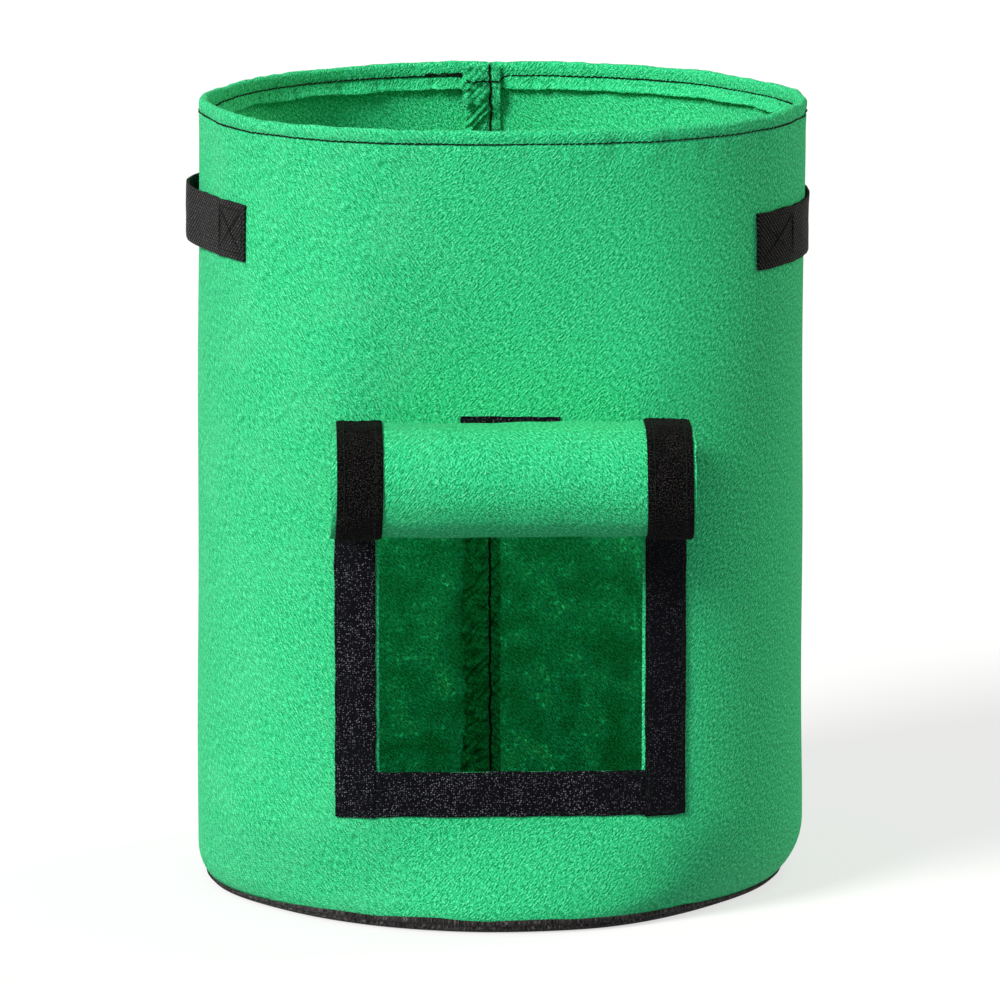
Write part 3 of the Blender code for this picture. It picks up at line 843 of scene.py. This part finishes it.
def make_handle(side_name, side, webbing, thread):
    """One handle: two halves of webbing, sewn on at their ends; side is -1 or 1."""
    node = "handle_" + side_name
    bulge, low_edge = STRAP_BULGES[side_name], STRAP_BOTTOMS[side_name]
    front_end = STRAP_FRONTS[side_name]
    front = strap_half(node + "_strap_front", front_end, 90.0, side, low_edge, bulge, webbing)
    back = strap_half(node + "_strap_back", 90.0, STRAP_BACK, side, low_edge, bulge, webbing)
    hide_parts(node + "_tab_front", node + "_loop")
    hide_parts(node + "_tab_back")
    middle = low_edge + STRAP_WIDTH / 2.0
    behind = 180.0 - STRAP_FREE
    blends = ((front, STRAP_FREE, STRAP_LIFTED), (back, behind, 180.0 - STRAP_LIFTED))
    for half, start, end in blends:
        marks = wall_points(side * np.radians((start, end)), middle, 0.002)
        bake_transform(half)
    ends = (("front", front_end, STRAP_FREE), ("back", behind, STRAP_BACK))
    for place, low, high in ends:
        path, up = box_with_cross(low + 0.9, high - 0.9, side, low_edge, bulge)
        sew(node + "_stitches_" + place, path, up, thread, node + "_thread_" + place,
            pitch=0.0034, radius=0.00030)


def box_with_cross(low, high, side, bottom_edge, bulge):
    """Path of the stitches through a strap's sewn end: a square with a cross in it."""
    inset = 0.004
    z_low, z_high = bottom_edge + inset, bottom_edge + STRAP_WIDTH - inset
    corners = ((low, z_low), (high, z_low), (high, z_high), (low, z_high), (low, z_low),
               (high, z_high), (high, z_low), (low, z_high))
    degrees, heights = [], []
    for (a, za), (b, zb) in zip(corners[:-1], corners[1:]):
        degrees.append(np.linspace(a, b, 40, endpoint=False))
        heights.append(np.linspace(za, zb, 40, endpoint=False))
    degrees = np.concatenate(degrees)
    heights = np.concatenate(heights)
    out = strap_gap(degrees, bulge) + STRAP - 0.0001
    return wall_row(side * np.radians(degrees), heights, out)


# ---------------- the flap

def fold_table():
    """Where the flap's outer face runs when rolled: distance along it, y, z and angle."""
    hinges = np.concatenate(([0.0], np.cumsum(FLAP_LENGTHS)))[:-1]
    lengths = np.array(FLAP_LENGTHS)
    turns = np.radians(FLAP_TURNS)
    before = (0.004, *lengths[:-1])
    reaches = [min(pair) / 2.0 for pair in zip(before, lengths)]
    angle, pieces = 0.0, []
    pivot_y, pivot_z = -FLAP_PLANE, FLAP_TOP
    for k, turn in enumerate(turns):
        reach = reaches[k]
        start = np.array((pivot_y + reach * math.sin(angle), pivot_z + reach * math.cos(angle)))
        share = np.linspace(0.0, 1.0, 41)
        keep = 0.30 if 1 < k < len(turns) - 2 else 0.75
        weight = share ** 2 * (3.0 - 2.0 * share)
        crisp = weight + (share - 0.5) * 6.0 * share * (1.0 - share)
        bend = angle + turn * ((1.0 - keep) * share + keep * crisp)
        mid = (bend[1:] + bend[:-1]) / 2.0
        steps = np.stack((-np.sin(mid), -np.cos(mid)), axis=1)
        path = np.concatenate(([[0.0, 0.0]], np.cumsum(steps, axis=0)))
        after = angle + turn
        end = np.array((pivot_y - reach * math.sin(after), pivot_z - reach * math.cos(after)))
        path *= np.linalg.norm(end - start) / np.linalg.norm(path[-1])
        pieces.append((hinges[k] - reach + share * 2.0 * reach, start[0] + path[:, 0],
                       start[1] + path[:, 1], bend))
        pivot_y -= lengths[k] * math.sin(after)
        pivot_z -= lengths[k] * math.cos(after)
        angle = after
    pieces.append(([FLAP_LENGTH], [pivot_y], [pivot_z], [angle]))
    columns = [np.concatenate(part) for part in zip(*pieces)]
    order = np.argsort(columns[0], kind="stable")
    return [column[order] for column in columns], hinges, reaches


(FOLD_S, FOLD_Y, FOLD_Z, FOLD_A), HINGES, REACHES = fold_table()


def flap_points(x, s, depth):
    """Points of the rolled flap: s runs down it from the fold, depth runs in from its face."""
    x, s, depth = np.broadcast_arrays(x, s, depth)
    angle = np.interp(s, FOLD_S, FOLD_A)
    y = np.interp(s, FOLD_S, FOLD_Y) + depth * np.cos(angle)
    z = np.interp(s, FOLD_S, FOLD_Z) - depth * np.sin(angle)
    rolled = np.stack((x, y, z), axis=-1)
    turn = turn_at(x.clip(-FLAP_HALF, FLAP_HALF))
    above = (-s).clip(0.0)
    anchor = wall_points(turn, FLAP_TOP + above, FELT + 0.0003 - depth)
    anchor[..., 0] = x
    start = np.stack((x, -FLAP_PLANE + depth, FLAP_TOP + above), axis=-1)
    rolled = np.where((s < 0.0)[..., None], start, rolled)
    share = 1.0 - ease(s / 0.016)
    shaped = rolled + (anchor - start) * share[..., None]
    shaped[..., 0] *= 1.0 - 0.014 * ease((shaped[..., 2] - 0.218) / 0.06)
    return shaped


def piece_spans():
    """Stretch of the flap that bends round each hinge."""
    middles = HINGES + np.array(FLAP_LENGTHS) / 2.0
    lows = np.concatenate(([-TOP_EDGE], middles[:-1]))
    highs = np.concatenate((middles[:-1], [FLAP_LENGTH]))
    return list(zip(lows, highs))


def bend_with(item, number):
    """Bake a flap piece's placement into its mesh; the ends of its hinge's stretch are computed
    but not used.
    """
    hinge, reach = HINGES[number], REACHES[number]
    start, end = flap_points(np.zeros(2), np.array((hinge - reach, hinge + reach)),
                             np.full(2, FELT / 2.0))
    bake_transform(item)


def flap_grid(x_low, x_high, s_low, s_high, step=0.0017):
    """Grid over part of the flap, with one more row beyond both ends."""
    columns = max(3, int(round((x_high - x_low) / step)) + 1)
    rows = max(3, int(round((s_high - s_low) / step)) + 1)
    s = np.linspace(s_low, s_high, rows)
    s = np.concatenate(([s_low - 0.0008], s, [s_high + 0.0008]))
    return grid(np.linspace(x_low, x_high, columns), s)


def u_stitch_lines():
    """The two U-shaped rows of stitches that hold the loop tape, in flap coordinates."""
    top, wide, narrow = 0.0256, LOOP_OUTER - 0.0042, LOOP_INNER + 0.0042
    low, high = LOOP_END - 0.0034, LOOP_END - 0.0186
    corners = ((-narrow, top), (-wide, top), (-wide, low), (wide, low), (wide, top),
               (narrow, top), (narrow, high), (-narrow, high), (-narrow, top))
    corners = [(x + LOOP_SHIFT, s) for x, s in corners]
    return list(zip(corners[:-1], corners[1:]))


def stitch_dip(x, s):
    """Dent of the stitches in the flap's felt."""
    dip = np.zeros(np.broadcast(x, s).shape)
    for (xa, sa), (xb, sb) in u_stitch_lines():
        aside, along, a, b = (x - xa, s, sa, sb) if xa == xb else (s - sa, x, xa, xb)
        within = (along > min(a, b) - 0.001) & (along < max(a, b) + 0.001)
        dip = np.maximum(dip, np.exp(-(aside / 0.0015) ** 2) * within)
    return dip


def make_flap(felt, loop, thread):
    """The flap's twelve pieces, one to a hinge, each with its tapes and stitches."""
    spans = piece_spans()
    for number, (low, high) in enumerate(spans):
        make_flap_felt(number, low, high, felt)
        make_loop_tapes(number, max(low, LOOP_START), min(high, LOOP_END), loop)
        make_flap_stitches(number, low, high, thread)
    turn = turn_at(np.linspace(-FLAP_HALF + 0.002, FLAP_HALF - 0.002, 300))
    path, up = wall_row(turn, FLAP_TOP + 0.0016, FELT + 0.0001)
    sew("flap_fold_stitches", path, up, thread, "flap_seam_thread", pitch=0.0044)


def flap_piece(name, x, s, near, far, material):
    """Piece of the flap between two depths from its face, without a mark at its joints."""
    top = flap_points(x, s, far)
    bottom = flap_points(x, s, near)
    uv = np.stack((x, -s), axis=-1)
    piece = sheet_solid(name, top[:, 1:-1], bottom[:, 1:-1], uv[:, 1:-1], material,
                        bevel=0.0)
    keep_smooth(piece, top, bottom)
    size = (float(x.max() - x.min()), max(float(s[0, -2] - s[0, 1]), 0.0101))
    return piece, size


def make_flap_felt(number, low, high, felt):
    """One piece's share of the flap's felt, between two distances from the fold."""
    x, s = flap_grid(-FLAP_HALF, FLAP_HALF, low, high)
    edge = ease((np.abs(x) - 0.09) / 0.01) * np.sign(x)
    wide = x + 0.0004 * waves(0.0, s, 71, 0.03) * edge
    swell = 0.0004 * waves(x, s, 72, 0.06, 2)
    dip = 0.0005 * stitch_dip(x, s)
    piece, size = flap_piece("flap_felt_%02d" % (number + 1), wide, s, dip + swell,
                             FELT - dip * 0.5 + swell, felt)
    nodes = ["flap_strip_%02d" % (number + 1)] + (["flap_top_edge"] if number == 0 else [])
    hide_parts(*nodes)
    bend_with(piece, number)


def make_loop_tapes(number, low, high, loop):
    """One piece's share of the loop tape, between two distances from the fold."""
    if high - low < 0.0005:
        return
    last = number == len(FLAP_TURNS) - 1
    bands = [("left", -LOOP_OUTER, -LOOP_INNER, low), ("right", LOOP_INNER, LOOP_OUTER, low)]
    if last:
        inner = LOOP_INNER - 0.0003
        bands.append(("bottom", -inner, inner, max(low, LOOP_END - LOOP_BAND)))
    for side, x_low, x_high, start in bands:
        x, s = flap_grid(x_low + LOOP_SHIFT, x_high + LOOP_SHIFT, start, high)
        swell = 0.0004 * waves(x, s, 72, 0.06, 2)
        fluff = 0.0002 * waves(x, s, 81, 0.004, 2)
        edge = np.minimum(x - x[0, 0], x[-1, 0] - x)
        rounded = 0.0006 * (1.0 - ease(edge / 0.0016))
        tape, size = flap_piece("flap_loop_%s_%02d" % (side, number + 1), x, s,
                                FELT - 0.0001 + swell, FELT + 0.0015 + swell + fluff - rounded,
                                loop)
        if side == "bottom":
            nodes = ["loop_tape_bottom"]
        else:
            strips = (2, 3) if number == 2 else (number + 1,)
            nodes = ["loop_tape_%s_%02d" % (side, k) for k in strips]
        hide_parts(*nodes)
        bend_with(tape, number)


def make_flap_stitches(number, low, high, thread):
    """The rows through the loop tape, on the flap's outer face and on the tape."""
    parts = []
    for (xa, sa), (xb, sb) in u_stitch_lines():
        length = max(abs(xb - xa), abs(sb - sa))
        count = max(1, int(length / STITCH))
        share = (np.arange(count) + 0.5) / count
        x = xa + (xb - xa) * share
        s = sa + (sb - sa) * share
        mine = (s >= low) & (s < high)
        if not mine.any():
            continue
        x, s = x[mine], s[mine]
        flat = np.stack((x, s, 0.0 * x), axis=1)
        along = np.tile((xb - xa, sb - sa, 0.0), (len(x), 1)) / length
        for depth, way in ((0.0004, -1.0), (FELT + 0.0013, 1.0)):
            centres = flat + (0.0, 0.0, depth)
            up = np.tile((0.0, 0.0, way), (len(x), 1))
            parts.append(stitch_tubes(centres, along, up, STITCH * 0.94, 0.00036))
    if not parts:
        return
    points = np.concatenate([part[0] for part in parts])
    faces, first = [], 0
    for part_points, part_faces in parts:
        faces.extend(tuple(k + first for k in face) for face in part_faces)
        first += len(part_points)
    row = finish_mesh("flap_stitches_%02d" % (number + 1), flap_points(*points.T), faces,
                      points[:, :2], (thread,))
    bend_with(row, number)


# ---------------- stage, light and camera

def make_stage():
    """White floor that melts into the background and throws no light back on the bag."""
    shader = Shader("studio_floor")
    where = shader.node("TexCoord").outputs["Object"]
    tone = shader.noise(where, 3.0, 2.0, 0.5)
    shader.feed(shader.main, {
        "Base Color": shader.mix(tone, (0.36, 0.36, 0.36), (0.38, 0.38, 0.38)),
        "Roughness": 1.0, "Specular IOR Level": 0.0,
        "Emission Color": (1.0, 1.0, 1.0, 1.0), "Emission Strength": 0.66,
    })
    corners = np.array([(-1, -1, 0), (1, -1, 0), (1, 1, 0), (-1, 1, 0)]) * 30.0
    floor = finish_mesh("studio_floor", corners, [(0, 1, 2, 3)], corners[:, :2],
                        (shader.material,), smooth=False)
    floor.visible_diffuse = False


def sun(name, azimuth, elevation, width, power, colour):
    """Soft light from far away, from an azimuth (0 = in front of the window)."""
    lamp = bpy.data.lights.new(name, 'SUN')
    lamp.angle = math.radians(width)
    lamp.energy = power
    lamp.color = colour
    item = add_object(name, lamp)
    a, e = math.radians(azimuth), math.radians(elevation)
    point_at(item, (math.sin(a) * math.cos(e), -math.cos(a) * math.cos(e), math.sin(e)))


def point_at(item, back):
    """Turn a light or camera so that it looks along minus back."""
    item.rotation_mode = 'QUATERNION'
    item.rotation_quaternion = (-Vector(back)).to_track_quat('-Z', 'Y')


def make_light():
    """Key light from the left, a weak yellowish one on the right edge, and a pale sky."""
    world = bpy.data.worlds.new("studio")
    bpy.context.scene.world = world
    world.use_nodes = True
    background = world.node_tree.nodes["Background"]
    background.inputs["Color"].default_value = (1.0, 1.0, 1.0, 1.0)
    background.inputs["Strength"].default_value = 0.33
    sun("key", -46.0, 33.0, 22.0, 3.55, (1.0, 0.99, 0.96))
    sun("edge", 114.0, 20.0, 20.0, 1.0, (1.0, 0.98, 0.70))
    bpy.context.scene.view_settings.view_transform = 'Standard'


def make_camera():
    """Long lens in front of the bag, a little to its left and above it, looking down."""
    lens = bpy.data.cameras.new("camera")
    lens.lens = LENS
    lens.sensor_width = 36.0
    lens.clip_end = 60.0
    camera = add_object("camera", lens)
    azimuth = math.radians(CAMERA_AZIMUTH)
    place = np.array((math.sin(azimuth) * CAMERA_DISTANCE, -math.cos(azimuth) * CAMERA_DISTANCE,
                      CAMERA_HEIGHT))
    target = np.array(CAMERA_TARGET)
    back = (place - target) / np.linalg.norm(place - target)
    camera.location = tuple(place)
    point_at(camera, back)
    bpy.context.scene.camera = camera


# ---------------- everything together

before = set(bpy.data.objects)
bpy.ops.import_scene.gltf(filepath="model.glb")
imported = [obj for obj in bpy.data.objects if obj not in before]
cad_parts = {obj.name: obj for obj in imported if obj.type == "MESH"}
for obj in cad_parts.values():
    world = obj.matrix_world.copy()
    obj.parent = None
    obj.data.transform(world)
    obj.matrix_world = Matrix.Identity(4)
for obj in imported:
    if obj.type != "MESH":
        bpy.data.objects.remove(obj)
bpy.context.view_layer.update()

greens = ((0.006, 0.38, 0.120), (0.055, 0.88, 0.36), (0.22, 1.0, 0.50))
green = felt_material("wall_felt", *greens)
# inside face of the wall, with painted glow standing in for light coming through the felt
green_inside_painted_glow = felt_material("wall_felt_inside_painted_glow", *greens, painted_glow=0.020)
# the seam's felt: a darker copy of the wall felt as painted shade inside the bag, with painted
# shade in its creases
green_seam_painted_shade = felt_material("wall_felt_seam_painted_shade", (0.004, 0.29, 0.092), (0.042, 0.72, 0.29),
                           (0.18, 0.84, 0.42), crease_shade=0.65)
black = felt_material("base_felt", (0.005, 0.005, 0.005), (0.050, 0.045, 0.045),
                      (0.16, 0.15, 0.15))
webbing = webbing_material("webbing", 1.0, 0.15)
# right strap: a darker, less glossy copy of the webbing, as painted shade on the side away from
# the key light
webbing_painted_shade = webbing_material("webbing_painted_shade", 0.42, 0.05)
hook = hook_material("hook_tape", 1.0)
# right hook tape: a darker copy, as painted shade on the side away from the key light
hook_painted_shade = hook_material("hook_tape_painted_shade", 0.35)
loop = loop_material()
thread = thread_material()

make_wall(green, green_inside_painted_glow)
make_rim_stitches(thread)
make_back_seam(green_seam_painted_shade, thread)
make_base(black, green_inside_painted_glow, thread)
make_hook_tapes(hook, hook_painted_shade, thread)
make_handle("left", -1.0, webbing, thread)
make_handle("right", 1.0, webbing_painted_shade, thread)
make_flap(green, loop, thread)
make_stage()
make_light()
make_camera()
